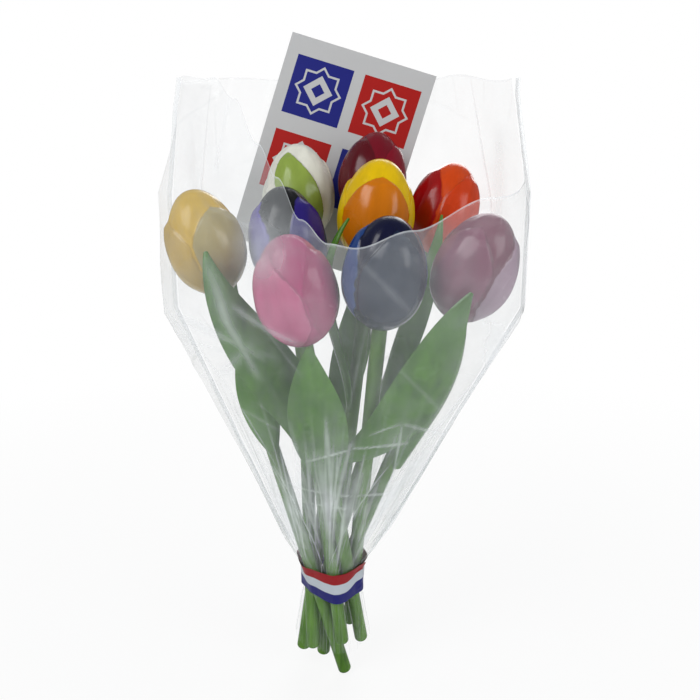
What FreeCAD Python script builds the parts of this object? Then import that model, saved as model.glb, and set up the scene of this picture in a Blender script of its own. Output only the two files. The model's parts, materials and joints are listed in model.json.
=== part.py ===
# A tied bunch of nine painted wooden tulips in a clear film sleeve, with a gift card behind the heads.
# Millimetres, +Z up, origin on the axis of the bunch at the middle of the ribbon that ties it.
import FreeCAD, Part
import math
import os
from FreeCAD import Placement, Rotation, Vector

os.makedirs("parts", exist_ok=True)
doc = FreeCAD.newDocument("wooden_tulips")

# The driving sizes
sheet = doc.addObject("Spreadsheet::Sheet", "Sizes")
SIZES = [
    ("tulip_length", 340, "a tulip from the top of its head to the end of its stem"),
    ("head_width", 48, "the widest part of a usual head"),
    ("head_height", 64, "a head from foot to top"),
    ("belly_height", 29, "height of the widest ring above the foot of a head"),
    ("petal_relief", 1.8, "how far the outer petals stand out of the egg under them"),
    ("petal_shift", 3, "how far the rounded back of a petal is centred off the axis of the head"),
    ("petal_margin", 2.4, "how much lower a petal's back is than the egg at either end"),
    ("stem_diameter", 9, "dowel of the stem"),
    ("stem_dome", 3, "height of the rounded end of a stem"),
    ("stem_spread", 2.33, "room that each leaning stem needs beside the next one at the tie"),
    ("bore_depth", 17, "blind hole in the foot of a head"),
    ("glue_gap", 0.1, "glue film round a stem, in its head and under its leaf"),
    ("leaf_length", 110, "a leaf from foot to tip"),
    ("leaf_width", 34, "the widest leaf across"),
    ("leaf_thickness", 6, "a leaf at its middle"),
    ("ribbon_width", 20, "height of the ribbon"),
    ("ribbon_thickness", 0.6, "ribbon, glued double"),
    ("wrap_gap", 0.3, "room between the wrapped layers"),
    ("film_thickness", 0.3, "film of the sleeve"),
    ("film_room", 1.4, "room between the film and the outer heads"),
    ("film_hem", 40, "lower hem of the film below the middle of the tie"),
    ("film_shoulder", 186, "height where the cone of film meets the heads"),
    ("film_brim", 255, "height from which the film leans inwards again"),
    ("film_scoop", 227, "lowest point of the front edge of the film"),
    ("film_top", 335, "upper edge of the film behind the card"),
    ("seam_gap", 0.3, "between the edges of the two sheets at a side seam"),
    ("card_width", 105, "card across"),
    ("card_height", 148, "card from lower to upper edge"),
    ("card_thickness", 0.8, "board of the card"),
    ("card_gap", 0.3, "between the card and the heads it leans on"),
    ("card_travel", 100, "how far the card slides up out of the sleeve"),
]
for row, (alias, value, note) in enumerate(SIZES, start=1):
    sheet.set(f"A{row}", note)
    sheet.set(f"B{row}", str(value))
    sheet.setAlias(f"B{row}", alias)
doc.recompute()


def size(alias):
    return float(sheet.get(alias))


def bind(item, **formulas):
    for name, formula in formulas.items():
        item.setExpression(name.replace("__", "."), formula)
    return item


def spot(side_share, depth_share, rise):
    """A place above the tie: across and in depth in shares of a head's width."""
    return Vector(side_share * size("head_width"), depth_share * size("head_width"), rise)


# Each tulip: middle of the head across, in depth (shares of head_width) and above the tie (share of
# tulip_length), angle where its stem crosses the tie, stem below the tie (share of tulip_length),
# size of the head (share of head_width and head_height) and turn of its petals.
# The stems cross as a clockwise spiral, so each one passes the tie a quarter turn on from its head.
TULIP_SHARES = {
    "gold": (-1.52, -0.46, 0.666, -134, 0.212, 0.98, 20),
    "purple": (-0.54, -0.19, 0.669, -83, 0.124, 1.00, 70),
    "pink": (-0.375, -1.165, 0.593, -34, 0.159, 1.00, 15),
    "blue": (0.645, -1.25, 0.622, 7, 0.141, 1.00, 50),
    "mauve": (1.685, -1.00, 0.628, 56, 0.200, 1.00, 35),
    "orange": (1.54, 0.625, 0.722, 100, 0.159, 0.96, 5),
    "red": (0.56, 0.875, 0.781, 148, 0.171, 0.96, 30),
    "white": (-0.46, 0.79, 0.752, 188, 0.147, 1.02, 25),
    "yellow": (0.58, -0.125, 0.716, None, 0.182, 1.00, 40),
}
RING_STEMS = 8
ring_radius = (size("stem_diameter") + size("stem_spread")) / (2 * math.sin(math.pi / RING_STEMS))


class Tulip:
    """Where one tulip's stem runs, worked out from its row of shares."""

    def __init__(self, name):
        side, depth, rise, slot, tail, scale, turn = TULIP_SHARES[name]
        self.name = name
        self.scale = scale
        self.turn = turn
        self.tail = tail * size("tulip_length")
        self.middle = spot(side, depth, rise * size("tulip_length"))
        self.crossing = Vector(0, 0, 0)
        if slot is not None:
            angle = math.radians(slot)
            self.crossing = Vector(ring_radius * math.cos(angle), ring_radius * math.sin(angle), 0)
        run = self.middle - self.crossing
        self.along = Vector(run).normalize()
        self.foot = self.middle - self.along * (scale * size("head_height") / 2)
        self.reach = (self.foot - self.crossing).Length
        self.facing = Rotation(Vector(0, 0, 1), self.along)

    def petal_facing(self, angle):
        """The turn of the head's petals, or of one that stands at an angle."""
        return self.facing.multiply(Rotation(Vector(0, 0, 1), self.turn + angle))

    def at_height(self, height):
        """The stem's axis at a height above the tie."""
        return self.crossing + self.along * (height / self.along.z)


tulips = {name: Tulip(name) for name in TULIP_SHARES}


# Heads: an egg turned from wood, carved to three outer petals, with a blind hole for the stem
PETAL_ANGLES = (60, 180, 300)


def egg_halves(label, scale, side_inset, end_inset, shift="0", angle=0):
    """The two half ellipsoids of an egg that stands on the head's axis, or beside it at an angle."""
    halves = []
    for part, low, high, rise in (("low", -90, 0, "Sizes.belly_height"),
                                  ("high", 0, 90, "(Sizes.head_height - Sizes.belly_height)")):
        half = doc.addObject("Part::Ellipsoid", f"{label}_{part}")
        half.Angle1 = low
        half.Angle2 = high
        half.Placement = Placement(Vector(0, 0, 0), Rotation(Vector(0, 0, 1), angle + 180))
        bind(half, Radius1=f"{scale} * ({rise} - {end_inset})",
             Radius2=f"{scale} * (Sizes.head_width / 2 - {side_inset})",
             Radius3=f"{scale} * (Sizes.head_width / 2 - {side_inset})",
             Placement__Base__x=f"{scale} * {shift} * cos({angle} * 1deg)",
             Placement__Base__y=f"{scale} * {shift} * sin({angle} * 1deg)",
             Placement__Base__z=f"{scale} * Sizes.belly_height")
        halves.append(half)
    return halves


carved_heads = {}


def carved_head(scale):
    """A carved head with no hole yet, made once for all heads of its size."""
    if scale not in carved_heads:
        label = f"carved_{len(carved_heads)}"
        halves = egg_halves(f"{label}_core", scale, "Sizes.petal_relief", "0")
        for angle in PETAL_ANGLES:
            halves += egg_halves(f"{label}_petal_{angle}", scale, "Sizes.petal_shift",
                                 "Sizes.petal_margin", "Sizes.petal_shift", angle)
        carved = doc.addObject("Part::MultiFuse", label)
        carved.Shapes = halves
        carved.Refine = True
        carved_heads[scale] = carved
    return carved_heads[scale]


head_bore = doc.addObject("Part::Cylinder", "head_bore")
bind(head_bore, Radius="Sizes.stem_diameter / 2 + Sizes.glue_gap", Height="Sizes.bore_depth")


def make_head(tulip):
    head = doc.addObject("Part::Cut", f"head_{tulip.name}")
    head.Base = carved_head(tulip.scale)
    head.Tool = head_bore
    head.Placement = Placement(tulip.foot, tulip.petal_facing(0))
    return head


# Stems: a dowel with a rounded lower end, glued into the head
def make_stem(tulip):
    label = f"stem_{tulip.name}"
    tail = f"{tulip.tail / size('tulip_length')} * Sizes.tulip_length"
    dowel = doc.addObject("Part::Cylinder", f"{label}_dowel")
    bind(dowel, Radius="Sizes.stem_diameter / 2", Placement__Base__z=f"Sizes.stem_dome - {tail}",
         Height=f"{tail} - Sizes.stem_dome + {tulip.reach} + Sizes.bore_depth - Sizes.glue_gap")
    dome = doc.addObject("Part::Ellipsoid", f"{label}_dome")
    dome.Angle1 = -90
    dome.Angle2 = 0
    bind(dome, Radius1="Sizes.stem_dome", Radius2="Sizes.stem_diameter / 2",
         Radius3="Sizes.stem_diameter / 2", Placement__Base__z=f"Sizes.stem_dome - {tail}")
    stem = doc.addObject("Part::Fuse", label)
    stem.Base = dowel
    stem.Tool = dome
    stem.Refine = True
    stem.Placement = Placement(tulip.crossing, tulip.facing)
    return stem


# Leaves: carved lens-shaped blades, hollowed along the back where they are glued to the stem.
# Each leaf: height of its seat above the tie (share of tulip_length), side of the stem it sits on,
# the way its face looks, its width (share of leaf_width), then foot, middle and tip from the seat
# in shares of leaf_length.
LEAF_SHARES = {
    "pink": (0.281, -100, -90, 1.00, (0.02, 0.04, -0.16), (-0.055, -0.20, 0.445), (-0.065, -0.30, 0.72)),
    "blue": (0.315, -95, -80, 0.94, (-0.12, 0.02, -0.07), (0.27, -0.21, 0.40), (0.48, -0.375, 0.89)),
    "purple": (0.300, -110, -75, 0.98, (0.02, 0.0, -0.15), (-0.27, -0.23, 0.58), (-0.50, -0.29, 1.10)),
    "gold": (0.320, -80, -95, 0.72, (0.03, 0.0, -0.10), (-0.06, -0.02, 0.28), (-0.11, 0.0, 0.62)),
    "mauve": (0.290, -20, -50, 0.76, (-0.04, 0.03, -0.12), (0.17, -0.09, 0.38), (0.30, -0.14, 0.76)),
    "orange": (0.370, -80, -140, 0.62, (-0.05, 0.0, -0.16), (0.13, -0.12, 0.42), (0.27, -0.25, 1.06)),
    "yellow": (0.390, -130, 195, 0.56, (0.0, 0.03, -0.14), (-0.11, -0.17, 0.53), (0.0, -0.25, 0.98)),
    "red": (0.345, -90, -90, 0.70, (-0.03, -0.01, -0.14), (0.08, -0.06, 0.38), (0.12, -0.02, 0.80)),
    "white": (0.310, 190, -125, 0.72, (0.02, -0.02, -0.16), (-0.20, -0.01, 0.38), (-0.36, 0.04, 0.86)),
}
# Along a leaf: place, width and thickness, in shares
BLADE_SHARES = [(0.0, 0.30, 0.45), (0.12, 0.62, 0.85), (0.30, 0.92, 1.0), (0.50, 1.0, 1.0),
                (0.70, 0.80, 0.85), (0.87, 0.44, 0.6), (1.0, 0.07, 0.25)]
FRONT_SHARE = 0.65


def blade(points, face_angle, width):
    """A loft of two-arc lens sections along a smooth line from the foot to the tip."""
    line = Part.BSplineCurve()
    line.interpolate(points)
    look = Vector(math.cos(math.radians(face_angle)), math.sin(math.radians(face_angle)), 0)
    first, last = line.FirstParameter, line.LastParameter
    sections = []
    for place, width_share, thick_share in BLADE_SHARES:
        at = first + (last - first) * place
        centre = line.value(at)
        ahead = Vector(*line.tangent(at)[0])
        across = ahead.cross(look).normalize()
        out = across.cross(ahead).normalize()
        half = across * (width * width_share / 2)
        thick = size("leaf_thickness") * thick_share
        front = centre + out * (thick * FRONT_SHARE)
        back = centre - out * (thick * (1 - FRONT_SHARE))
        edges = [Part.Arc(centre - half, front, centre + half).toShape(),
                 Part.Arc(centre + half, back, centre - half).toShape()]
        sections.append(Part.Wire(edges))
    return Part.makeLoft(sections, True, False)


def leaf_points(tulip):
    seat_share, side, face, width_share, foot, middle, tip = LEAF_SHARES[tulip.name]
    angle = math.radians(side)
    out = Vector(math.cos(angle), math.sin(angle), 0)
    out = (out - tulip.along * out.dot(tulip.along)).normalize()
    seat = tulip.at_height(seat_share * size("tulip_length"))
    seat = seat + out * (size("stem_diameter") / 2 + size("leaf_thickness") * (1 - FRONT_SHARE) / 2)
    return [seat + Vector(*share) * size("leaf_length") for share in (foot, (0, 0, 0), middle, tip)]


def make_leaf(tulip):
    points = leaf_points(tulip)
    face, width_share = LEAF_SHARES[tulip.name][2:4]
    solid = blade(points, face, width_share * size("leaf_width"))
    stem_room = Part.makeCylinder(size("stem_diameter") / 2 + size("glue_gap"),
                                  tulip.reach + tulip.tail, tulip.crossing - tulip.along * tulip.tail,
                                  tulip.along)
    leaf = doc.addObject("Part::Feature", f"leaf_{tulip.name}")
    leaf.Shape = solid.cut(stem_room)
    return leaf


# Card: leans on the backs of the heads, turned in its own plane as it was pushed in
CARD_LEAN = 8.2
CARD_SWING = -2.5
CARD_ROLL = 17.3
CARD_SIDE_SHARE = -0.07
CARD_RISE_SHARE = 0.857
card_turn = Rotation(CARD_SWING, 0, -CARD_LEAN).multiply(Rotation(Vector(0, 1, 0), CARD_ROLL))
card_front = card_turn.multVec(Vector(0, -1, 0))
card_up = card_turn.multVec(Vector(0, 0, 1))
card_across = card_turn.multVec(Vector(1, 0, 0))


def head_reach(tulip, direction):
    """How far a head reaches in a direction, from the tie: its core, or the petal that reaches furthest."""
    belly = tulip.foot + tulip.along * (tulip.scale * size("belly_height"))
    lift = direction.dot(tulip.along)
    tall = size("belly_height") if lift < 0 else size("head_height") - size("belly_height")
    eggs = [(0, size("petal_relief"), 0, 0)]
    eggs += [(size("petal_shift"), size("petal_shift"), size("petal_margin"), angle)
             for angle in PETAL_ANGLES]
    reaches = []
    for shift, side_inset, end_inset, angle in eggs:
        out = tulip.petal_facing(angle).multVec(Vector(1, 0, 0)).dot(direction) * shift
        wide = (size("head_width") / 2 - side_inset) * math.sqrt(1 - lift * lift)
        reaches.append(tulip.scale * (out + math.hypot(wide, (tall - end_inset) * lift)))
    return belly.dot(direction) + max(reaches)


back_reach = max(head_reach(tulips[name], card_front * -1) for name in ("white", "red"))
card_middle = Vector(CARD_SIDE_SHARE * size("head_width"), 0, CARD_RISE_SHARE * size("tulip_length"))
card_offset = back_reach + size("card_gap") + card_middle.dot(card_front)
card_middle = card_middle - card_front * card_offset


def card_point(across_share, up_share, travel=0):
    """A point of the card's front face, in shares of its width and height from its middle."""
    return (card_middle + card_across * (across_share * size("card_width"))
            + card_up * (up_share * size("card_height") + travel))


def make_card():
    card = doc.addObject("Part::Box", "gift_card")
    bind(card, Length="Sizes.card_width", Width="Sizes.card_thickness", Height="Sizes.card_height")
    card.Placement = Placement(card_point(-0.5, -0.5), card_turn)
    return card


# Film sleeve: two sheets sealed along both sides, drawn tight at the tie and spread by the heads
SLEEVE_SIDE_SHARE = 0.25
SLEEVE_DEPTH_SHARE = -0.12
sleeve_middle = spot(SLEEVE_SIDE_SHARE, SLEEVE_DEPTH_SHARE, 0)
tie_middle = Vector(0, 0, 0)
# Where the right side seam stands proud of the heads as a fold
FOLD_SIDE_SHARE = 2.46
FOLD_DEPTH_SHARE = -0.2
STEP_ANGLE = 5
BRIM_SHARE = 0.8
# The upper edge: angle round the sleeve and share of the way from the scoop in front to the top
EDGE_SHARES = [(0, 0.87), (50, 1.0), (130, 1.0), (180, 0.87), (212, 0.86), (226, 0.74), (237, 0.49),
               (244, 0.33), (252, 0.13), (262, 0.02), (272, 0.0), (292, 0.08), (316, 0.23), (344, 0.32),
               (352, 0.48), (360, 0.87)]
# Where the film closes in again above the heads
TOP_SHARES = [(-1.77, -0.1), (-0.7, -1.55), (1.5, -1.35), (2.15, -0.1)]


FACING_SHARE = 0.2


def plan_way(angle):
    return Vector(math.cos(math.radians(angle)), math.sin(math.radians(angle)), 0)


def tight_line(discs, middle):
    """The line of a film drawn tight round discs, as a function from angle to radius."""
    ways = [plan_way(degree) for degree in range(0, 360, 2)]
    supports = [(way, max((centre - middle).dot(way) + radius for centre, radius in discs))
                for way in ways]

    def radius_at(angle):
        ray = plan_way(angle)
        return min(support / way.dot(ray) for way, support in supports
                   if way.dot(ray) > FACING_SHARE)
    return radius_at


def card_discs():
    """The card's side edges inside the sleeve, pushed in and pulled up, as points in plan."""
    discs = []
    for travel in (0, size("card_travel")):
        for across in (-0.5, 0.5):
            low = card_point(across, -0.5, travel) - card_front * size("card_thickness")
            rise = (size("film_top") - low.z) / card_up.z
            if rise > 0:
                discs += [(low, size("film_room")), (low + card_up * rise, size("film_room"))]
    return discs


def bunch_discs():
    """Everything that spreads the sleeve at the heads, as discs in plan."""
    discs = [(t.middle, t.scale * size("head_width") / 2) for t in tulips.values()]
    discs += [(leaf_points(tulips[name])[3], size("leaf_thickness") / 4) for name in ("blue", "purple")]
    return discs + [(spot(FOLD_SIDE_SHARE, FOLD_DEPTH_SHARE, 0), 0)] + card_discs()


def top_discs():
    return [(spot(side, depth, 0), 0) for side, depth in TOP_SHARES] + card_discs()


def stem_discs(height):
    """The stems' sections at a height near the tie, or their lower ends where they stop above it."""
    return [(t.at_height(max(height, -t.tail * t.along.z)), size("stem_diameter") / 2 / t.along.z)
            for t in tulips.values()]


half_tie = size("ribbon_width") / 2
skirt_middle = -(size("film_hem") + half_tie) / 2
stem_lines = {height: tight_line(stem_discs(height), tie_middle)
              for height in (-size("film_hem"), skirt_middle, -half_tie, 0, half_tie)}


def edge_height(angle):
    share = 1.0
    for (low_angle, low_share), (high_angle, high_share) in zip(EDGE_SHARES, EDGE_SHARES[1:]):
        if low_angle <= angle <= high_angle:
            step = (angle - low_angle) / (high_angle - low_angle)
            share = low_share + (high_share - low_share) * (1 - math.cos(math.pi * step)) / 2
    return size("film_scoop") + share * (size("film_top") - size("film_scoop"))


def film_levels(angle, bunch_line, top_line, inset):
    """The film from hem to upper edge at one angle: points joined by straight runs."""
    way = plan_way(angle)
    out = size("wrap_gap") + size("film_thickness") - inset
    points = [way * (line(angle) + out) + Vector(0, 0, height) for height, line in stem_lines.items()]
    out = size("film_room") + size("film_thickness") - inset
    edge = edge_height(angle)
    shoulder = size("film_shoulder")
    brim = min(size("film_brim"), shoulder + BRIM_SHARE * (edge - shoulder))
    lean = max(0, (edge - size("film_brim")) / (size("film_top") - size("film_brim")))
    upper = bunch_line(angle) * (1 - lean) + top_line(angle) * lean
    points += [sleeve_middle + way * (radius + out) + Vector(0, 0, height)
               for radius, height in ((bunch_line(angle), shoulder), (bunch_line(angle), brim),
                                      (upper, edge))]
    return points


def smooth_edge(points):
    curve = Part.BSplineCurve()
    curve.interpolate(points)
    return curve.toShape()


def make_wall(label, outer_columns, inner_columns):
    """A thin solid between two skins, each given as columns of points from its lower edge up."""
    skins = [[smooth_edge([column[level] for column in columns]) for level in range(len(columns[0]))]
             for columns in (outer_columns, inner_columns)]
    outer, inner = skins
    faces = [Part.makeRuledSurface(outer[0], inner[0]), Part.makeRuledSurface(outer[-1], inner[-1])]
    for low in range(len(outer) - 1):
        faces.append(Part.makeRuledSurface(outer[low], outer[low + 1]))
        faces.append(Part.makeRuledSurface(inner[low], inner[low + 1]))
        for end in (0, -1):
            corners = [edge.Vertexes[end].Point for edge in (outer[low], outer[low + 1],
                                                             inner[low + 1], inner[low])]
            faces.append(Part.Face(Part.makePolygon(corners + corners[:1])))
    shell = Part.makeShell(faces)
    shell.sewShape()
    solid = Part.makeSolid(Part.Shell(shell.Faces))
    wall = doc.addObject("Part::Feature", label)
    wall.Shape = solid
    return wall


def make_film(label, first_angle, last_angle):
    bunch_line = tight_line(bunch_discs(), sleeve_middle)
    top_line = tight_line(top_discs(), sleeve_middle)
    clear = math.degrees(size("seam_gap") / bunch_line(first_angle))
    steps = round((last_angle - first_angle) / STEP_ANGLE)
    span = last_angle - first_angle - 2 * clear
    angles = [first_angle + clear + span * k / steps for k in range(steps + 1)]
    skins = [[film_levels(angle, bunch_line, top_line, inset) for angle in angles]
             for inset in (0, size("film_thickness"))]
    return make_wall(label, *skins)


# Ribbon: one strip wound once and a bit round the film, its end lapped over and glued
RIBBON_START = -50
RIBBON_TURN = 425


def ribbon_column(angle, layer_out):
    wound = (angle - RIBBON_START) / 360 * (size("ribbon_thickness") + size("glue_gap"))
    out = 2 * size("wrap_gap") + size("film_thickness") + wound + layer_out
    return [plan_way(angle) * (stem_lines[height](angle) + out) + Vector(0, 0, height)
            for height in (-half_tie, 0, half_tie)]


def make_ribbon():
    angles = [RIBBON_START + STEP_ANGLE * k for k in range(RIBBON_TURN // STEP_ANGLE + 1)]
    return make_wall("ribbon", [ribbon_column(angle, size("ribbon_thickness")) for angle in angles],
                     [ribbon_column(angle, 0) for angle in angles])


pieces = []
for tulip in tulips.values():
    pieces += [make_head(tulip), make_stem(tulip), make_leaf(tulip)]
pieces.append(make_film("film_front", 180, 360))
pieces.append(make_film("film_back", 0, 180))
pieces.append(make_ribbon())
pieces.append(make_card())
doc.recompute()

for item in doc.Objects:
    if {"Invalid", "Error"} & set(item.State):
        raise RuntimeError(f"{item.Label} did not build: {item.State}")
for piece in pieces:
    if piece.Shape.isNull() or not piece.Shape.isValid() or not piece.Shape.Solids:
        raise RuntimeError(f"{piece.Label} has no valid solid")
for piece in pieces:
    piece.Shape.exportStep(f"parts/{piece.Label}.step")
    print(f"{piece.Label:14s} solids {len(piece.Shape.Solids)} volume {piece.Shape.Volume:9.1f}")
print("card slides along", [round(c, 4) for c in card_up], "lean reach", round(back_reach, 2))
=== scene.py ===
import json
import math

import bpy
import numpy as np
from mathutils import Matrix, Quaternion, Vector, noise
from mathutils.bvhtree import BVHTree


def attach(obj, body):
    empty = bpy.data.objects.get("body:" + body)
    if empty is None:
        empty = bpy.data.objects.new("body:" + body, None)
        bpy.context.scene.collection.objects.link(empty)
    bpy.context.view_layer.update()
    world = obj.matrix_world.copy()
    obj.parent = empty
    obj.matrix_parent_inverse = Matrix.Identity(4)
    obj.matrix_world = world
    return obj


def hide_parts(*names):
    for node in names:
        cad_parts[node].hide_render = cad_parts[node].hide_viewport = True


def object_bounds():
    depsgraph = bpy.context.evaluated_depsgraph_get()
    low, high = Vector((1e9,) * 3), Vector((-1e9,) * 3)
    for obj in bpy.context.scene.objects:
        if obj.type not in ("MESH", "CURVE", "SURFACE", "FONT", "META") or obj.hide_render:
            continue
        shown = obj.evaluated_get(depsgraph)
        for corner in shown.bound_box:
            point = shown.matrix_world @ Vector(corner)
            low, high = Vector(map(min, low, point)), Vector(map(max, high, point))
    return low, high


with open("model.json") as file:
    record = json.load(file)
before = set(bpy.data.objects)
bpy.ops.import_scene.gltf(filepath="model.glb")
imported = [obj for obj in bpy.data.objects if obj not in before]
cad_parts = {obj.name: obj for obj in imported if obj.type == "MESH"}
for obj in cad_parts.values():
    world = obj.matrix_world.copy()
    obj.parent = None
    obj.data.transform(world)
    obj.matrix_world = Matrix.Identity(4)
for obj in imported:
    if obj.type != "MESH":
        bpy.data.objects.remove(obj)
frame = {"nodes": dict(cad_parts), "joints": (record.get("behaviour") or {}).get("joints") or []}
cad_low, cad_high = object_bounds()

# ---- Studio ----
# The bunch is held upright over a white table in a light tent: weak light from all sides, a strong
# window at the upper left, and weaker ones at the right and behind. The camera is close, and level
# with the upper heads.
MM = 0.001
FLOOR_GAP = 0.5 * MM
FLOOR_SIZE = 8.0
CAMERA_PLACE = Vector((0.012, -0.4289, 0.2463))
CAMERA_AIM = Vector((0.012, 0.0, 0.1575))
CAMERA_LENS = 35.18
WINDOWS = {  # place, size in metres, power in watts
    "window_left": ((-0.9, -0.9, 1.15), 0.9, 13.5),
    "window_right": ((1.05, -0.75, 0.55), 0.7, 6.0),
    "window_back": ((0.3, 1.1, 0.9), 0.9, 8.0),
}
TENT_COLOUR, TENT_STRENGTH = (0.97, 0.99, 1.0, 1.0), 0.24
FLOOR_FADE = (0.12, 0.9, 0.88, 1.0)  # nearest and farthest distance in metres, share of plain white at each


def linear(hex_colour):
    """A colour written as in a paint chart, as the shader needs it."""
    parts = [int(hex_colour[k:k + 2], 16) / 255 for k in (0, 2, 4)]
    return (*[p / 12.92 if p <= 0.04045 else ((p + 0.055) / 1.055) ** 2.4 for p in parts], 1.0)


def new_finish(name, **sockets):
    """A material with one Principled shader, whose even values are set on its own sockets."""
    finish = bpy.data.materials.new(name)
    finish.use_nodes = True
    shader = finish.node_tree.nodes["Principled BSDF"]
    for socket, value in sockets.items():
        shader.inputs[socket.replace("_", " ")].default_value = value
    return finish, finish.node_tree, shader


def add(tree, kind, **values):
    """A node with its settings, and its inputs by number or name."""
    node = tree.nodes.new(kind)
    for key, value in values.items():
        if key.startswith("i_"):
            socket = int(key[2:]) if key[2:].isdigit() else key[2:].replace("_", " ")
            node.inputs[socket].default_value = value
        else:
            setattr(node, key, value)
    return node


def calc(tree, operation, *values):
    """A sum of sockets and plain numbers."""
    node = add(tree, "ShaderNodeMath", operation=operation)
    for socket, value in zip(node.inputs, values):
        if isinstance(value, bpy.types.NodeSocket):
            tree.links.new(value, socket)
        else:
            socket.default_value = value
    return node.outputs[0]


def spread(tree, value, low, high, first=0.0, second=1.0):
    """A value between two limits, spread over a new range."""
    node = add(tree, "ShaderNodeMapRange", i_1=low, i_2=high, i_3=first, i_4=second)
    tree.links.new(value, node.inputs[0])
    return node.outputs[0]


scene = bpy.context.scene
scene.view_settings.view_transform = "Standard"
world = bpy.data.worlds.new("light_tent")
world.use_nodes = True
scene.world = world
tent = world.node_tree
tent_light = tent.nodes["Background"]
tent_light.inputs["Color"].default_value = TENT_COLOUR
tent_light.inputs["Strength"].default_value = TENT_STRENGTH
tent_white = add(tent, "ShaderNodeBackground", i_Strength=1.0, i_Color=(1, 1, 1, 1))
tent_mix = add(tent, "ShaderNodeMixShader")
tent.links.new(add(tent, "ShaderNodeLightPath").outputs["Is Camera Ray"], tent_mix.inputs[0])
tent.links.new(tent_light.outputs[0], tent_mix.inputs[1])
tent.links.new(tent_white.outputs[0], tent_mix.inputs[2])
tent.links.new(tent_mix.outputs[0], tent.nodes["World Output"].inputs["Surface"])

floor_mesh = bpy.data.meshes.new("floor")
half_floor, floor_z = FLOOR_SIZE / 2, cad_low.z - FLOOR_GAP
floor_mesh.from_pydata([(x * half_floor, y * half_floor, floor_z)
                        for x, y in ((-1, -1), (1, -1), (1, 1), (-1, 1))], [], [(0, 1, 2, 3)])
floor = bpy.data.objects.new("floor", floor_mesh)
scene.collection.objects.link(floor)
floor_finish, tree, shader = new_finish("white_table", Base_Color=(0.86, 0.87, 0.88, 1), Roughness=0.7)
glow = add(tree, "ShaderNodeEmission", i_Color=(1, 1, 1, 1), i_Strength=1.0)
away = add(tree, "ShaderNodeVectorMath", operation="LENGTH")
tree.links.new(add(tree, "ShaderNodeTexCoord").outputs["Object"], away.inputs[0])
floor_mix = add(tree, "ShaderNodeMixShader")
tree.links.new(calc(tree, "MULTIPLY", add(tree, "ShaderNodeLightPath").outputs["Is Camera Ray"],
                    spread(tree, away.outputs["Value"], *FLOOR_FADE)), floor_mix.inputs[0])
tree.links.new(shader.outputs[0], floor_mix.inputs[1])
tree.links.new(glow.outputs[0], floor_mix.inputs[2])
tree.links.new(floor_mix.outputs[0], tree.nodes["Material Output"].inputs["Surface"])
floor_mesh.materials.append(floor_finish)

for name, (place, width, power) in WINDOWS.items():
    lamp = bpy.data.lights.new(name, "AREA")
    lamp.size = width
    lamp.energy = power
    window = bpy.data.objects.new(name, lamp)
    window.location = place
    window.rotation_euler = (CAMERA_AIM - Vector(place)).to_track_quat("-Z", "Y").to_euler()
    scene.collection.objects.link(window)

camera_data = bpy.data.cameras.new("camera")
camera_data.lens = CAMERA_LENS
camera_data.sensor_width = 36.0
camera = bpy.data.objects.new("camera", camera_data)
camera.location = CAMERA_PLACE
camera.rotation_euler = (CAMERA_AIM - CAMERA_PLACE).to_track_quat("-Z", "Y").to_euler()
scene.collection.objects.link(camera)
scene.camera = camera


# ---- Stems ----
# Beech dowels of 9 mm with rounded ends, dipped or brushed in leaf-green gloss paint. They are glued
# into the heads and cross as a spiral at the tie. The turned solids stay, and get the painted finish.
STEM_GREENS = ("305612", "46701A", "62922A")


def brush_group():
    """Marks of brushed gloss paint: soft streaks along the piece, patches and fine dust in the coat."""
    group = bpy.data.node_groups.new("brushed_gloss", "ShaderNodeTree")
    face = group.interface
    face.new_socket("Place", in_out="INPUT", socket_type="NodeSocketVector")
    face.new_socket("Streak", in_out="INPUT", socket_type="NodeSocketVector")
    for output in ("Tone", "Roughness", "Height"):
        face.new_socket(output, in_out="OUTPUT", socket_type="NodeSocketFloat")
    start, end = add(group, "NodeGroupInput"), add(group, "NodeGroupOutput")
    stretch = add(group, "ShaderNodeVectorMath", operation="MULTIPLY")
    group.links.new(start.outputs["Place"], stretch.inputs[0])
    group.links.new(start.outputs["Streak"], stretch.inputs[1])
    streaks = add(group, "ShaderNodeTexNoise", i_Scale=1.0, i_Detail=5.0, i_Roughness=0.6)
    group.links.new(stretch.outputs[0], streaks.inputs["Vector"])
    patches = add(group, "ShaderNodeTexNoise", i_Scale=55.0, i_Detail=3.0)
    dust = add(group, "ShaderNodeTexNoise", i_Scale=900.0, i_Detail=2.0)
    for node in (patches, dust):
        group.links.new(start.outputs["Place"], node.inputs["Vector"])
    streak, patch, grain = (node.outputs["Fac"] for node in (streaks, patches, dust))
    mixed = calc(group, "MULTIPLY_ADD", streak, 0.6, calc(group, "MULTIPLY", patch, 0.4))
    group.links.new(spread(group, mixed, 0.3, 0.7), end.inputs["Tone"])
    group.links.new(spread(group, patch, 0.3, 0.7, 0.14, 0.3), end.inputs["Roughness"])
    group.links.new(calc(group, "MULTIPLY_ADD", grain, 0.25, streak), end.inputs["Height"])
    return group


brushed = brush_group()


def brush_node(tree, shader, place, streak, bump):
    """Places the brushed gloss in a material, and gives its Tone."""
    node = add(tree, "ShaderNodeGroup", node_tree=brushed, i_Streak=streak)
    tree.links.new(place, node.inputs["Place"])
    tree.links.new(node.outputs["Roughness"], shader.inputs["Roughness"])
    ridge = add(tree, "ShaderNodeBump", i_Strength=bump, i_Distance=0.0006)
    tree.links.new(node.outputs["Height"], ridge.inputs["Height"])
    tree.links.new(ridge.outputs["Normal"], shader.inputs["Normal"])
    return node.outputs["Tone"]


def mix_colours(tree, share, first, second, **how):
    """A colour between two, each a socket or a plain colour."""
    node = add(tree, "ShaderNodeMix", data_type="RGBA", **how)
    for socket, value in ((node.inputs[0], share), (node.inputs[6], first), (node.inputs[7], second)):
        if isinstance(value, bpy.types.NodeSocket):
            tree.links.new(value, socket)
        else:
            socket.default_value = value
    return node.outputs[2]


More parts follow.
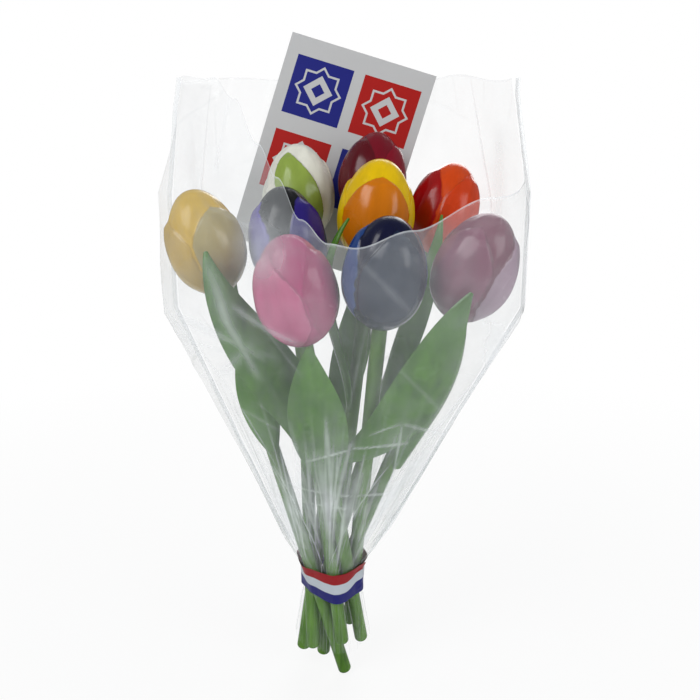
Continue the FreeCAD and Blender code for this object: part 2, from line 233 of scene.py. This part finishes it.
def green_finish(name, low, middle, high, streak):
    finish, tree, shader = new_finish(name, Specular_IOR_Level=0.3, Coat_Weight=0.08, Coat_Roughness=0.1)
    place = add(tree, "ShaderNodeTexCoord").outputs["Object"]
    tone = brush_node(tree, shader, place, streak, 0.25)
    tint = add(tree, "ShaderNodeTexNoise", i_Scale=24.0, i_Detail=2.0)
    tree.links.new(place, tint.inputs["Vector"])
    base = mix_colours(tree, spread(tree, tint.outputs["Fac"], 0.35, 0.65), linear(low), linear(middle))
    tree.links.new(mix_colours(tree, tone, base, linear(high)), shader.inputs["Base Color"])
    return finish


stem_paint = green_finish("stem_paint", *STEM_GREENS, (300, 300, 25))
stem_nodes = {name[5:]: node for name, node in frame["nodes"].items() if name.startswith("stem_")}
for name, node in stem_nodes.items():
    node.data.materials.clear()
    node.data.materials.append(stem_paint)


# ---- Leaves ----
# Flat pointed blades carved from thin wood and glued to the stems with their hollowed feet, painted in
# a livelier green than the stems. The carved solids stay, and get the painted finish.
LEAF_GREENS = ("28520A", "3A6C10", "568C1E")
leaf_paint = green_finish("leaf_paint", *LEAF_GREENS, (160, 160, 22))
for name, node in frame["nodes"].items():
    if name.startswith("leaf_"):
        node.data.materials.clear()
        node.data.materials.append(leaf_paint)


# ---- Heads ----
# Tulip heads turned from wood as eggs, then carved by hand to three outer petals over three inner
# ones, drilled for the stem and painted: each petal in its own shade, with gloss varnish over it.
HEAD_RADIUS, HEAD_HEIGHT, BELLY = 24.0, 64.0, 29.0
RELIEF, SHIFT, MARGIN = 1.8, 3.0, 2.4
PETAL_FOOT = 1.5
BORE_RADIUS, BORE_DEPTH = 4.6, 17.0
HEAD_STEPS, HEAD_ROWS = 192, 130
STEP_WIDTH, LIP = 1.0, 0.5
# size, turn of the petals, height of their tips, half their width in degrees, how far they lean from
# foot to tip in degrees, colour of the inner petals, then of the outer ones at 60, 180 and 300 degrees
HEADS = {
    # the gold head's last outer petal, at the front right, is a grey-olive that holds painted shade
    "gold": (0.98, 20, 51, 57, -10, "D8B014", ("C89A38", "CCA838", "B0A064")),
    "purple": (1.00, 25, 56, 43, -12, "080A10", ("1A1430", "5A48AC", "2C1E7C")),
    "pink": (1.00, 48, 57, 57, -30, "B43072", ("B84C80", "CC5C8C", "A82C68")),
    "blue": (1.00, 106, 60, 57, 4, "080C30", ("1E407E", "14233E", "1E3A74")),
    "mauve": (1.00, 45, 57, 57, 15, "7A3852", ("84465E", "844460", "AA8EA0")),
    "orange": (0.96, 15, 58, 57, 0, "DA4A10", ("D04A1C", "A00C0C", "D44010")),
    "red": (0.96, 35, 58, 57, 10, "780A20", ("7A1028", "5C0616", "860A24")),
    "white": (1.02, -26, 56, 36, -62, "F0F0E4", ("F0EADC", "ECF0E4", "98B050")),
    "yellow": (1.00, -32, 53, 60, 10, "ECC400", ("DEBE0C", "E8C002", "D67800")),
}


def egg_reach(height, side_inset, end_inset):
    """Half width of an egg at some heights."""
    tall = np.where(height < BELLY, BELLY, HEAD_HEIGHT - BELLY) - end_inset
    return (HEAD_RADIUS - side_inset) * np.sqrt(np.clip(1 - ((height - BELLY) / tall) ** 2, 0, None))


def ease(share):
    share = np.clip(share, 0, 1)
    return share * share * (3 - 2 * share)


def head_surface(height, angle, tip, half_angle, lean, seed):
    """Radius of a carved head, and how far inside each petal's outline a point lies, in millimetres."""
    core = egg_reach(height, RELIEF, 0)
    crown = ease((height - 40) / 16)
    radius = core * (1 - 0.05 * crown * (1 - np.cos(3 * angle)) / 2)
    share = np.clip((height - PETAL_FOOT) / (tip - PETAL_FOOT), 0, 1)
    half = math.radians(half_angle) * np.clip(4 * share ** 0.85 * (1 - share), 0, 1) ** 0.62
    ends = np.minimum(height - PETAL_FOOT, tip - height)
    insides = []
    for middle in (60, 180, 300):
        centre = np.radians(middle + lean * (height / HEAD_HEIGHT - 0.45))
        off = (angle - centre + math.pi) % (2 * math.pi) - math.pi
        wide = egg_reach(height, SHIFT, MARGIN)
        petal = SHIFT * np.cos(off) + np.sqrt(np.clip(wide ** 2 - (SHIFT * np.sin(off)) ** 2, 0, None))
        petal = petal + LIP * (0.5 + 0.5 * off / math.radians(half_angle))
        inside = (half - np.abs(off)) * core
        inside = np.where(ends < 0, np.minimum(inside, ends), inside)
        lift = np.maximum(petal, radius + LIP) - radius
        radius = radius + lift * ease(inside / STEP_WIDTH + 0.5) * ease(ends / 5)
        insides.append(inside)
    # shallow tool cuts, all of them inwards, that fade out at both ends of the head
    cuts = (0.16 * np.sin(7 * angle + height * 0.11 + seed)
            + 0.12 * np.sin(11 * angle - height * 0.17 + 2 * seed))
    thin = ease(height / 6) * ease((HEAD_HEIGHT - height) / 6)
    return np.minimum(radius, egg_reach(height, 0, 0)) + (cuts - 0.28) * thin, insides


def head_mesh(name, scale, tip, half_angle, lean, seed, placed):
    """The head's rings from the blind hole to the crown, closed at both ends."""
    rise = np.linspace(-1, 1, HEAD_ROWS + 1)[1:-1]
    heights = BELLY + np.where(rise < 0, BELLY, HEAD_HEIGHT - BELLY) * np.sin(rise * math.pi / 2)
    heights = heights[heights > 1.2]
    angles = np.arange(HEAD_STEPS) * 2 * math.pi / HEAD_STEPS
    tall, round_ = np.meshgrid(heights, angles, indexing="ij")
    radius, insides = head_surface(tall, round_, tip, half_angle, lean, seed)
    outside = np.stack([radius * np.cos(round_), radius * np.sin(round_), tall], -1).reshape(-1, 3) * scale
    bore = [np.stack([BORE_RADIUS * np.cos(angles), BORE_RADIUS * np.sin(angles), np.full(HEAD_STEPS, z)], -1)
            for z in (BORE_DEPTH, 0.8)]
    ends = np.array([[0, 0, BORE_DEPTH], [0, 0, (HEAD_HEIGHT - 0.2) * scale]])
    points = np.concatenate([*bore, outside, ends])
    rows = len(heights) + 2
    faces = []
    for k in range(HEAD_STEPS):
        n = (k + 1) % HEAD_STEPS
        faces += [(row * HEAD_STEPS + k, row * HEAD_STEPS + n, (row + 1) * HEAD_STEPS + n,
                   (row + 1) * HEAD_STEPS + k) for row in range(rows - 1)]
        faces.append((rows * HEAD_STEPS, n, k))
        faces.append((rows * HEAD_STEPS + 1, (rows - 1) * HEAD_STEPS + k, (rows - 1) * HEAD_STEPS + n))
    mesh = bpy.data.meshes.new(name)
    mesh.from_pydata([placed @ Vector(p * MM) for p in points], [], faces)
    mesh.polygons.foreach_set("use_smooth", [True] * len(faces))
    grain = mesh.attributes.new("grain", "FLOAT_VECTOR", "POINT")
    grain.data.foreach_set("vector", (points * MM).astype(np.float32).ravel())
    for k, inside in enumerate(insides):
        values = np.concatenate([np.full(2 * HEAD_STEPS, -9.0), inside.ravel(), [-9.0, -9.0]])
        petal = mesh.attributes.new(f"petal_{k}", "FLOAT", "POINT")
        petal.data.foreach_set("value", values.astype(np.float32))
    mesh.update()
    return mesh


def head_finish(name, inner, petals):
    finish, tree, shader = new_finish(f"paint_{name}", Specular_IOR_Level=0.3, Coat_Weight=0.1,
                                      Coat_Roughness=0.08)
    place = add(tree, "ShaderNodeAttribute", attribute_name="grain").outputs["Vector"]
    tone = brush_node(tree, shader, place, (170, 170, 22), 0.22)
    wobble = add(tree, "ShaderNodeTexNoise", i_Scale=260.0, i_Detail=2.0)
    tree.links.new(place, wobble.inputs["Vector"])
    shift = spread(tree, wobble.outputs["Fac"], 0.3, 0.7, -0.5, 0.5)
    colour, groove_shade = linear(inner), 0.0
    for k, petal in enumerate(petals):
        inside = add(tree, "ShaderNodeAttribute", attribute_name=f"petal_{k}").outputs["Fac"]
        inside = calc(tree, "ADD", inside, shift)
        colour = mix_colours(tree, spread(tree, inside, -0.3, 0.3), colour, linear(petal))
        # a line just outside each petal's edge, where a painted shade lies in the groove
        line = spread(tree, calc(tree, "ABSOLUTE", calc(tree, "ADD", inside, 0.3)), 0.1, 0.7, 1.0, 0.0)
        groove_shade = calc(tree, "MAXIMUM", line, groove_shade)
    # thin paint in the brush streaks is darker, and the grooves at the petals' edges get a painted shade
    for share, shade in ((calc(tree, "SUBTRACT", 0.6, tone), (0.7, 0.7, 0.7, 1)),
                         (calc(tree, "MULTIPLY", groove_shade, 0.3), (0.4, 0.37, 0.4, 1))):
        colour = mix_colours(tree, share, colour, shade, blend_type="MULTIPLY")
    tree.links.new(colour, shader.inputs["Base Color"])
    return finish


def stem_axis(name):
    """The line of a tulip's stem: a point on it and its upward direction."""
    points = np.array([v.co for v in stem_nodes[name].data.vertices], float)
    middle = points.mean(0)
    along = np.linalg.svd(points - middle, full_matrices=False)[2][0]
    return Vector(middle), Vector(along if along[2] > 0 else -along)


for number, (name, (scale, turn, tip, half_angle, lean, inner, petals)) in enumerate(HEADS.items()):
    middle, along = stem_axis(name)
    node = frame["nodes"][f"head_{name}"]
    top = max((v.co - middle).dot(along) for v in node.data.vertices)
    foot = middle + along * (top - scale * HEAD_HEIGHT * MM)
    facing = Vector((0, 0, 1)).rotation_difference(along) @ Quaternion((0, 0, 1), math.radians(turn))
    placed = Matrix.Translation(foot) @ facing.to_matrix().to_4x4()
    label = f"tulip_head_{name}"
    head = bpy.data.objects.new(label, head_mesh(label, scale, tip, half_angle, lean, number * 1.7, placed))
    scene.collection.objects.link(head)
    head.data.materials.append(head_finish(name, inner, petals))
    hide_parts(f"head_{name}")
    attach(head, "bunch")


# ---- Film sleeve ----
# Two sheets of clear florist's film, heat-sealed along both sides to a tapered bag with narrow seam
# fins. It is drawn tight at the tie, spread by the heads, and its front edge is cut in a deep scoop.
SLEEVE_AXIS = Vector((0.012, -0.00576, 0))
AXIS_LOW, AXIS_HIGH = 10 * MM, 186 * MM
HEM, LOWEST_CAST = -46 * MM, -39.5 * MM
SCOOP, TOP = 227 * MM, 335 * MM
SEAM_FIN = 2.6 * MM
# angle round the sleeve from the right, and share of the way up from the scoop to the top
FILM_EDGE = [(0, 0.87), (50, 1.0), (130, 1.0), (180, 0.87), (212, 0.8), (226, 0.68), (237, 0.47),
             (244, 0.32), (252, 0.13), (262, 0.02), (272, 0.0), (292, 0.08), (316, 0.23), (344, 0.32),
             (352, 0.48), (360, 0.87)]
# folds: first angle and height, last angle and height in mm, how far they stand out, their painted highlight
FRONT_FOLDS = [(276, 190, 272, 130, 1.0, 0.12), (226, 85, 264, 78, 1.0, 0.45), (262, 78, 316, 77, 1.0, 0.4),
               (228, 73, 290, 66, 1.0, 0.3), (268, 112, 268, 18, 1.4, 0.5), (222, 96, 258, 12, 1.6, 0.6),
               (304, 104, 262, 12, 1.6, 0.5), (300, 128, 307, 84, 1.0, 0.4), (300, 128, 326, 116, 1.0, 0.4),
               (300, 128, 284, 121, 0.9, 0.35), (246, 101, 278, 112, 1.2, 0.5), (274, 112, 308, 114, 1.2, 0.5),
               (338, 262, 346, 226, 1.5, 0.6), (194, 200, 226, 90, 1.2, 0.3), (334, 200, 306, 60, 1.2, 0.3),
               (205, 140, 240, 40, 1.2, 0.35), (188, 240, 200, 150, 1.0, 0.25)]
BACK_FOLDS = [(150, 330, 165, 200, 1.0, 0.35), (30, 330, 12, 190, 1.0, 0.4), (95, 320, 70, 180, 1.0, 0.2)]
# soft streaks of light: as the folds, and half their width in mm
FRONT_STREAKS = [(212, 222, 230, 150, 0.5, 0.3, 3.5), (200, 186, 236, 166, 0.4, 0.25, 2.5),
                 (222, 196, 252, 176, 0.4, 0.3, 2.0), (206, 150, 232, 176, 0.4, 0.2, 3.0),
                 (312, 196, 338, 140, 0.4, 0.2, 5.0), (255, 112, 268, 18, 0.5, 0.35, 5.0),
                 (286, 100, 273, 14, 0.5, 0.3, 5.0), (320, 112, 300, 14, 0.5, 0.4, 7.0),
                 (336, 130, 330, 26, 0.5, 0.3, 6.0), (347, 160, 346, 40, 0.4, 0.3, 5.0),
                 (206, 112, 226, 18, 0.5, 0.25, 6.0), (232, 96, 240, 18, 0.5, 0.25, 4.0)]
BACK_STREAKS = [(20, 150, 40, 30, 0.4, 0.3, 7.0), (160, 150, 140, 30, 0.4, 0.25, 7.0),
                (12, 300, 18, 200, 0.4, 0.2, 5.0), (168, 300, 160, 190, 0.4, 0.15, 5.0)]
# painted reflections as milky patches: angle and height in mm, half their size in degrees and mm, how white
# they are
FRONT_PAINTED_REFLECTIONS = [(200, 175, 14, 60, 0.08), (266, 75, 5, 55, 0.12), (300, 118, 7, 12, 0.12),
              (330, 120, 14, 70, 0.2), (345, 240, 9, 22, 0.18), (225, 60, 10, 40, 0.14),
              (238, 226, 10, 16, 0.26), (258, 190, 6, 30, 0.05), (270, 75, 90, 48, 0.15)]
BACK_PAINTED_REFLECTIONS = [(165, 250, 12, 60, 0.05), (14, 260, 12, 60, 0.06), (20, 100, 16, 60, 0.08)]
FILM_STEPS, FILM_ROWS = 300, 240
EDGE_SMOOTH = 6  # steps on each side over which the upper edge is evened out
DEGREE_MM, CREASE_HALF = 1.4, 0.7  # millimetres of film in a degree, and half the width of a sharp crease


def ribbon_lift(degree):
    """The tie is slanted: it lies lowest at the front and rides up at both sides."""
    corners, heights = (0, 90, 180, 225, 275, 318, 360), (5, 5.5, 8, 5.5, 0.3, 3, 5)
    lifts = [np.interp(np.mod(degree + off, 360), corners, heights) for off in (-18, -9, 0, 9, 18)]
    return sum(lifts) / len(lifts) * MM


def film_edge(angle):
    """Height of the film's upper edge at an angle."""
    for (low, first), (high, second) in zip(FILM_EDGE, FILM_EDGE[1:]):
        if low <= angle <= high:
            share = first + (second - first) * (1 - math.cos(math.pi * (angle - low) / (high - low))) / 2
            return SCOOP + share * (TOP - SCOOP)


def heading(degree):
    return Vector((math.cos(math.radians(degree)), math.sin(math.radians(degree)), 0))


def sleeve_middle(height):
    return SLEEVE_AXIS * min(1, max(0, (height - AXIS_LOW) / (AXIS_HIGH - AXIS_LOW)))


def cast_tree(node_name):
    solid = frame["nodes"][node_name].data
    return BVHTree.FromPolygons([v.co for v in solid.vertices], [tuple(p.vertices) for p in solid.polygons])


def all_folds(first, last, own, streaks, seed):
    """The folds seen on the real sleeve, and smaller ones between them."""
    draw = np.random.RandomState(seed)
    lines = [(*fold, CREASE_HALF) for fold in own] + list(streaks)
    for _ in range(90):
        angle, start = draw.uniform(first, last), draw.uniform(12, 60)
        lines.append((angle, start, angle + draw.uniform(-12, 12), start + draw.uniform(15, 80),
                      draw.uniform(0.3, 1.5), draw.uniform(0.08, 0.4), draw.uniform(0.6, 2.2)))
    for _ in range(28):
        angle, start = draw.uniform(first, last), draw.uniform(70, 320)
        lean, length = draw.uniform(0, math.pi), draw.uniform(12, 60)
        end = (angle + length * math.cos(lean) / DEGREE_MM, start + length * math.sin(lean))
        lines.append((angle, start, *end, draw.uniform(0.2, 0.9), draw.uniform(0.04, 0.2),
                      draw.uniform(0.7, 1.6)))
    for _ in range(16):
        angle = draw.uniform(first, last)
        lines.append((angle, -8, angle + draw.uniform(-8, 8), -50, draw.uniform(0.3, 1.0),
                      draw.uniform(0.2, 0.7), CREASE_HALF))
    return lines


def fold_maps(angle, height, lines):
    """How far folds stand out, and how bright their painted highlights are, over a sheet unrolled to degrees
    and mm.
    """
    out, white = np.zeros_like(angle), np.zeros_like(angle)
    for first, low, second, high, tall, bright, wide in lines:
        across, up = (second - first) * DEGREE_MM, high - low
        from_x, from_z = (angle - first) * DEGREE_MM, height - low
        along = np.clip((from_x * across + from_z * up) / (across ** 2 + up ** 2), 0, 1)
        off = np.hypot(from_x - along * across, from_z - along * up)
        fade = 1 - (2 * along - 1) ** 4
        out = np.maximum(out, tall * fade * np.exp(-off / (3 + wide)))
        white = np.maximum(white, bright * fade * np.exp(-(off / wide) ** 2))
    return out, white


def with_fins(points, haze_and_reflections, height):
    """The sheet with the narrow fins of its sealed sides, each one more column of points."""
    sides = []
    for end, way in ((0, -1.0), (-1, 1.0)):
        wide = (0.2 * MM + SEAM_FIN * ease((height[end] - 15 * MM) / (25 * MM)))[:, None]
        sides.append((points[end] + wide * np.array([way, 0.1, 0]))[None])
    haze_and_reflections[0] = haze_and_reflections[-1] = 0.5
    return (np.concatenate([sides[0], points, sides[1]]),
            np.concatenate([haze_and_reflections[:1] * 0.8, haze_and_reflections, haze_and_reflections[-1:] * 0.8]))


def film_sheet(label, node_name, first, last, own, streaks, painted_reflections, clear, seed, fins):
    """One sheet, laid over the solid that holds its place, then folded, with the seam fins on request."""
    tree = cast_tree(node_name)
    angles = np.linspace(first, last, FILM_STEPS + 1)
    tops = np.array([film_edge(a) for a in angles])
    hems = np.array([HEM + 4 * MM * noise.noise(Vector((a / 14, 3.1, seed))) for a in angles])
    height = hems[:, None] + (tops - hems)[:, None] * np.linspace(0, 1, FILM_ROWS + 1)[None, :]
    angle = np.repeat(angles[:, None], FILM_ROWS + 1, 1)
    radius, cloud, fibre = np.empty_like(height), np.empty_like(height), np.empty_like(height)
    for i, degree in enumerate(angles):
        way = heading(min(max(degree, first + 0.5), last - 0.5))
        reach = 0.02
        for j in range(FILM_ROWS + 1):
            z = height[i, j]
            level = min(max(z, LOWEST_CAST), tops[i] - 2.5 * MM)
            hit = tree.ray_cast(sleeve_middle(z) + Vector((0, 0, level)), way)
            if hit[0] is not None:
                reach = hit[3]
            radius[i, j] = reach
            cloud[i, j] = noise.noise((way * reach + Vector((0, 0, z))) / 0.05)
            fibre[i, j] = noise.noise(Vector((degree / 2.4, z * 10, seed)))
    out, white = fold_maps(angle, height / MM, all_folds(first, last, own, streaks, seed))
    turn = np.radians(angle)
    # pleats of two pitches gather the film at the tie, and the ribbon presses them flat under it
    tie = np.exp(-((height - 4 * MM) / (50 * MM)) ** 2)
    grip = ease((np.abs(height - ribbon_lift(angle)) - 9 * MM) / (16 * MM))
    pleat = (1 + np.sin(turn * 17 + 1.3 * np.sin(height * 60))) * 0.7 + (1 + np.sin(turn * 29 + 2)) * 0.5
    skirt = np.clip(-height - 10 * MM, 0, None) * 0.05
    # near the upper edge the film is evened out and hardly creased
    padded = np.pad(radius, ((EDGE_SMOOTH, EDGE_SMOOTH), (0, 0)), mode="edge")
    window = 2 * EDGE_SMOOTH + 1
    smooth = sum(padded[k:k + len(radius)] for k in range(window)) / window
    radius = radius + (smooth - radius) * ease(1 - (tops[:, None] - height) / (25 * MM))
    calm = 0.15 + 0.85 * ease((tops[:, None] - height) / (22 * MM))
    slack = (pleat * tie + out + 0.5 * (cloud + 0.6).clip(0)) * (0.08 + 0.92 * grip) * calm
    radius = radius + (0.1 + slack) * MM + skirt
    # how much is seen: even film, clouds, painted crease highlights, fine streaks low down, painted
    # reflections
    haze_and_reflections = clear + 0.05 * cloud + 0.7 * white + 0.3 * fibre.clip(0) * ease((160 * MM - height) / (80 * MM))
    for at, level, wide, tall, bright in painted_reflections:
        haze_and_reflections = haze_and_reflections + bright * np.exp(-((angle - at) / wide) ** 2 - ((height / MM - level) / tall) ** 2)
    if fins:
        haze_and_reflections = haze_and_reflections + 0.09 * ease((height - 130 * MM) / (60 * MM))
    haze_and_reflections = haze_and_reflections * np.where(height < -8 * MM, 0.4, 1.0)
    haze_and_reflections[:, -1] = 0.25 + 0.35 * ease((305 * MM - tops) / (40 * MM))
    share = np.clip((height - AXIS_LOW) / (AXIS_HIGH - AXIS_LOW), 0, 1)
    held = np.radians(np.clip(angle, first + 0.5, last - 0.5))
    points = np.stack([SLEEVE_AXIS.x * share + radius * np.cos(held),
                       SLEEVE_AXIS.y * share + radius * np.sin(held), height], -1)
    if fins:
        points, haze_and_reflections = with_fins(points, haze_and_reflections, height)
    rows = FILM_ROWS + 1
    faces = [(i * rows + j, (i + 1) * rows + j, (i + 1) * rows + j + 1, i * rows + j + 1)
             for i in range(len(points) - 1) for j in range(FILM_ROWS)]
    mesh = bpy.data.meshes.new(label)
    mesh.from_pydata(points.reshape(-1, 3).tolist(), [], faces)
    mesh.polygons.foreach_set("use_smooth", [True] * len(faces))
    values = haze_and_reflections.clip(0.02, 0.9).astype(np.float32).ravel()
    mesh.attributes.new("haze_and_reflections", "FLOAT", "POINT").data.foreach_set("value", values)
    mesh.update()
    piece = bpy.data.objects.new(label, mesh)
    scene.collection.objects.link(piece)
    return piece


film_finish, tree, shader = new_finish("clear_film", Base_Color=(0.93, 0.97, 1.0, 1), Roughness=0.1,
                                       IOR=1.45, Specular_IOR_Level=0.8)
place = add(tree, "ShaderNodeTexCoord").outputs["Object"]
haze_and_reflections = add(tree, "ShaderNodeAttribute", attribute_name="haze_and_reflections").outputs["Fac"]
specks = add(tree, "ShaderNodeTexNoise", i_Scale=60.0, i_Detail=5.0)
tree.links.new(place, specks.inputs["Vector"])
tree.links.new(calc(tree, "MULTIPLY", haze_and_reflections, spread(tree, specks.outputs["Fac"], 0.3, 0.7, 0.8, 1.2)),
               shader.inputs["Alpha"])
facets = add(tree, "ShaderNodeTexVoronoi", feature="F1", i_Scale=38.0)
tree.links.new(place, facets.inputs["Vector"])
film_bump = add(tree, "ShaderNodeBump", i_Strength=0.3, i_Distance=0.002)
tree.links.new(facets.outputs["Distance"], film_bump.inputs["Height"])
tree.links.new(film_bump.outputs["Normal"], shader.inputs["Normal"])

film_front = film_sheet("sleeve_front", "film_front", 180, 360, FRONT_FOLDS, FRONT_STREAKS, FRONT_PAINTED_REFLECTIONS,
                        0.07, 11, True)
film_back = film_sheet("sleeve_back", "film_back", 0, 180, BACK_FOLDS, BACK_STREAKS, BACK_PAINTED_REFLECTIONS,
                       0.1, 23, False)
# each sheet with its solid, the length it was cut to in metres, and its flat area in square metres
for piece, node_name, length, area in ((film_front, "film_front", 0.375, 0.066),
                                       (film_back, "film_back", 0.385, 0.086)):
    piece.data.materials.append(film_finish)
    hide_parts(node_name)
    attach(piece, "bunch")


# ---- Ribbon ----
# A woven satin ribbon with three even stripes, wound once and a bit round the film and glued. It lies
# over the crumpled film, so it is faceted rather than round, and its ragged cut end shows at the right.
RIBBON_HALF, RIBBON_LENGTH = 10 * MM, 0.165
RIBBON_INSIDE, RIBBON_RADIUS = 9.8 * MM, 20.5 * MM
FILM_CLEARANCE = 0.9 * MM
OUTSIDE = 0.06  # radius in metres at which rays towards the solid ribbon start
RIBBON_TURN = (-85, 330)
RIBBON_COLOURS = ("14166E", "C2CAD2", "980F18")
RIBBON_STEPS, RIBBON_ROWS = 400, 24
ribbon_tree = cast_tree("ribbon")
film_trees = [cast_tree("film_front"), cast_tree("film_back")]
ribbon_points, ribbon_rise = [], []
for i in range(RIBBON_STEPS + 1):
    along = RIBBON_TURN[0] + (RIBBON_TURN[1] - RIBBON_TURN[0]) * i / RIBBON_STEPS
    end = float(ease((along - RIBBON_TURN[1] + 14) / 14))
    for j in range(RIBBON_ROWS + 1):
        share = j / RIBBON_ROWS
        degree = along + 7 * end * noise.noise(Vector((share * 7, 4.2, 0)))
        way = heading(degree)
        flat = (2 * share - 1) * RIBBON_HALF
        height = flat + float(ribbon_lift(degree)) + 4.5 * MM * float(ease((along - 294) / 36))
        level = Vector((0, 0, min(max(flat, -RIBBON_INSIDE), RIBBON_INSIDE)))
        hit = ribbon_tree.ray_cast(way * OUTSIDE + level, -way)
        radius = OUTSIDE - hit[3] if hit[0] is not None else RIBBON_RADIUS
        for tree in film_trees:
            hit = tree.ray_cast(Vector((0, 0, height)), way)
            if hit[0] is not None:
                radius = max(radius, hit[3] + FILM_CLEARANCE)
        facet = 0.5 * MM * abs(math.sin(math.radians(degree) * 4.5 + 0.4 * share))
        layer = 0.5 * MM * float(ease((along - 262) / 13)) + 1.2 * MM * end
        ribbon_points.append(way * (radius + facet + layer) + Vector((0, 0, height)))
        ribbon_rise.append(share)
rows = RIBBON_ROWS + 1
ribbon_mesh = bpy.data.meshes.new("striped_ribbon")
ribbon_faces = [(i * rows + j, (i + 1) * rows + j, (i + 1) * rows + j + 1, i * rows + j + 1)
                for i in range(RIBBON_STEPS) for j in range(RIBBON_ROWS)]
ribbon_mesh.from_pydata(ribbon_points, [], ribbon_faces)
ribbon_mesh.polygons.foreach_set("use_smooth", [True] * len(ribbon_faces))
rise_values = ribbon_mesh.attributes.new("rise", "FLOAT", "POINT")
rise_values.data.foreach_set("value", np.array(ribbon_rise, np.float32))
ribbon = bpy.data.objects.new("striped_ribbon", ribbon_mesh)
scene.collection.objects.link(ribbon)
ribbon_finish, tree, shader = new_finish("satin_stripes", Roughness=0.42, Specular_IOR_Level=0.3,
                                         Sheen_Weight=0.08)
rise = add(tree, "ShaderNodeAttribute", attribute_name="rise").outputs["Fac"]
colour = linear(RIBBON_COLOURS[0])
for level, paint in ((1 / 3, RIBBON_COLOURS[1]), (2 / 3, RIBBON_COLOURS[2])):
    colour = mix_colours(tree, spread(tree, rise, level - 0.008, level + 0.008), colour, linear(paint))
tree.links.new(colour, shader.inputs["Base Color"])
weave = add(tree, "ShaderNodeTexWave", i_Scale=420.0, bands_direction="Z")
tree.links.new(add(tree, "ShaderNodeTexCoord").outputs["Object"], weave.inputs["Vector"])
weave_bump = add(tree, "ShaderNodeBump", i_Strength=0.3, i_Distance=0.0003)
tree.links.new(weave.outputs["Fac"], weave_bump.inputs["Height"])
tree.links.new(weave_bump.outputs["Normal"], shader.inputs["Normal"])
ribbon_mesh.materials.append(ribbon_finish)
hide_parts("ribbon")
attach(ribbon, "bunch")


# ---- Gift card ----
# A postcard of matt board, printed on the upper part of its face with two rows of blue and red squares
# that hold plain stars and diamonds. It is pushed into the sleeve behind the heads and leans on them.
CARD_TALL, ROWS, COLUMNS = 148.0, 2, 2
SQUARE, GAP_ACROSS, GAP_DOWN, MARGIN_LEFT, MARGIN_TOP = 41.0, 8.0, 12.0, 8.4, 13.0
card_node = frame["nodes"]["gift_card"]
card_corners = np.array([v.co for v in card_node.data.vertices], float)
card_up = Vector(frame["joints"][0]["axis"]).normalized()
largest_faces = sorted(card_node.data.polygons, key=lambda p: -p.area)[:4]
card_normal = min((p.normal for p in largest_faces), key=lambda n: n.y).normalized()
card_across = card_up.cross(card_normal)
if card_across.x < 0:
    card_across = -card_across
card_finish, tree, shader = new_finish("printed_board", Roughness=0.55, Specular_IOR_Level=0.2)
place = add(tree, "ShaderNodeTexCoord").outputs["Object"]


def along_card(way):
    """How far a point lies from the card's first edge, in millimetres."""
    dot = add(tree, "ShaderNodeVectorMath", operation="DOT_PRODUCT", i_1=tuple(way * 1000))
    tree.links.new(place, dot.inputs[0])
    return calc(tree, "SUBTRACT", dot.outputs["Value"], float(min(card_corners @ np.array(way)) * 1000))


def cells(distance, pitch):
    """Number of the square in a row or column, and the place in it from its middle, 0.5 at its edge."""
    cell = calc(tree, "DIVIDE", distance, pitch)
    inside = calc(tree, "MULTIPLY", calc(tree, "FRACT", cell), pitch / SQUARE)
    return calc(tree, "FLOOR", cell), calc(tree, "ABSOLUTE", calc(tree, "SUBTRACT", inside, 0.5))


from_left = calc(tree, "SUBTRACT", along_card(card_across), MARGIN_LEFT)
from_top = calc(tree, "SUBTRACT", CARD_TALL - MARGIN_TOP, along_card(card_up))
column, in_x = cells(from_left, SQUARE + GAP_ACROSS)
row, in_z = cells(from_top, SQUARE + GAP_DOWN)
largest, total = calc(tree, "MAXIMUM", in_x, in_z), calc(tree, "ADD", in_x, in_z)
square = calc(tree, "LESS_THAN", largest, 0.5)
for value, last in ((from_left, COLUMNS * (SQUARE + GAP_ACROSS)), (from_top, ROWS * (SQUARE + GAP_DOWN))):
    square = calc(tree, "MULTIPLY", square, calc(tree, "GREATER_THAN", value, 0))
    square = calc(tree, "MULTIPLY", square, calc(tree, "LESS_THAN", value, last))
odd = calc(tree, "MODULO", calc(tree, "ADD", column, row), 2)
star = calc(tree, "MINIMUM", calc(tree, "MULTIPLY", total, 0.72), largest)
ring = calc(tree, "MULTIPLY", calc(tree, "LESS_THAN", star, 0.3), calc(tree, "GREATER_THAN", star, 0.265))
core = calc(tree, "MULTIPLY", calc(tree, "LESS_THAN", total, 0.26), calc(tree, "GREATER_THAN", total, 0.12))
motif = calc(tree, "MAXIMUM", ring, core)
# the white board is written as a light grey: painted shade over the whole card
board = linear("C3C4C5")
printed = mix_colours(tree, motif, mix_colours(tree, odd, linear("1A207C"), linear("AC1612")), board)
face = add(tree, "ShaderNodeVectorMath", operation="DOT_PRODUCT", i_1=tuple(card_normal))
tree.links.new(add(tree, "ShaderNodeNewGeometry").outputs["Normal"], face.inputs[0])
square = calc(tree, "MULTIPLY", square, calc(tree, "GREATER_THAN", face.outputs["Value"], 0.5))
tree.links.new(mix_colours(tree, square, board, printed), shader.inputs["Base Color"])
pulp = add(tree, "ShaderNodeTexNoise", i_Scale=1400.0, i_Detail=3.0)
tree.links.new(place, pulp.inputs["Vector"])
pulp_bump = add(tree, "ShaderNodeBump", i_Strength=0.12, i_Distance=0.0002)
tree.links.new(pulp.outputs["Fac"], pulp_bump.inputs["Height"])
tree.links.new(pulp_bump.outputs["Normal"], shader.inputs["Normal"])
card_node.data.materials.clear()
card_node.data.materials.append(card_finish)
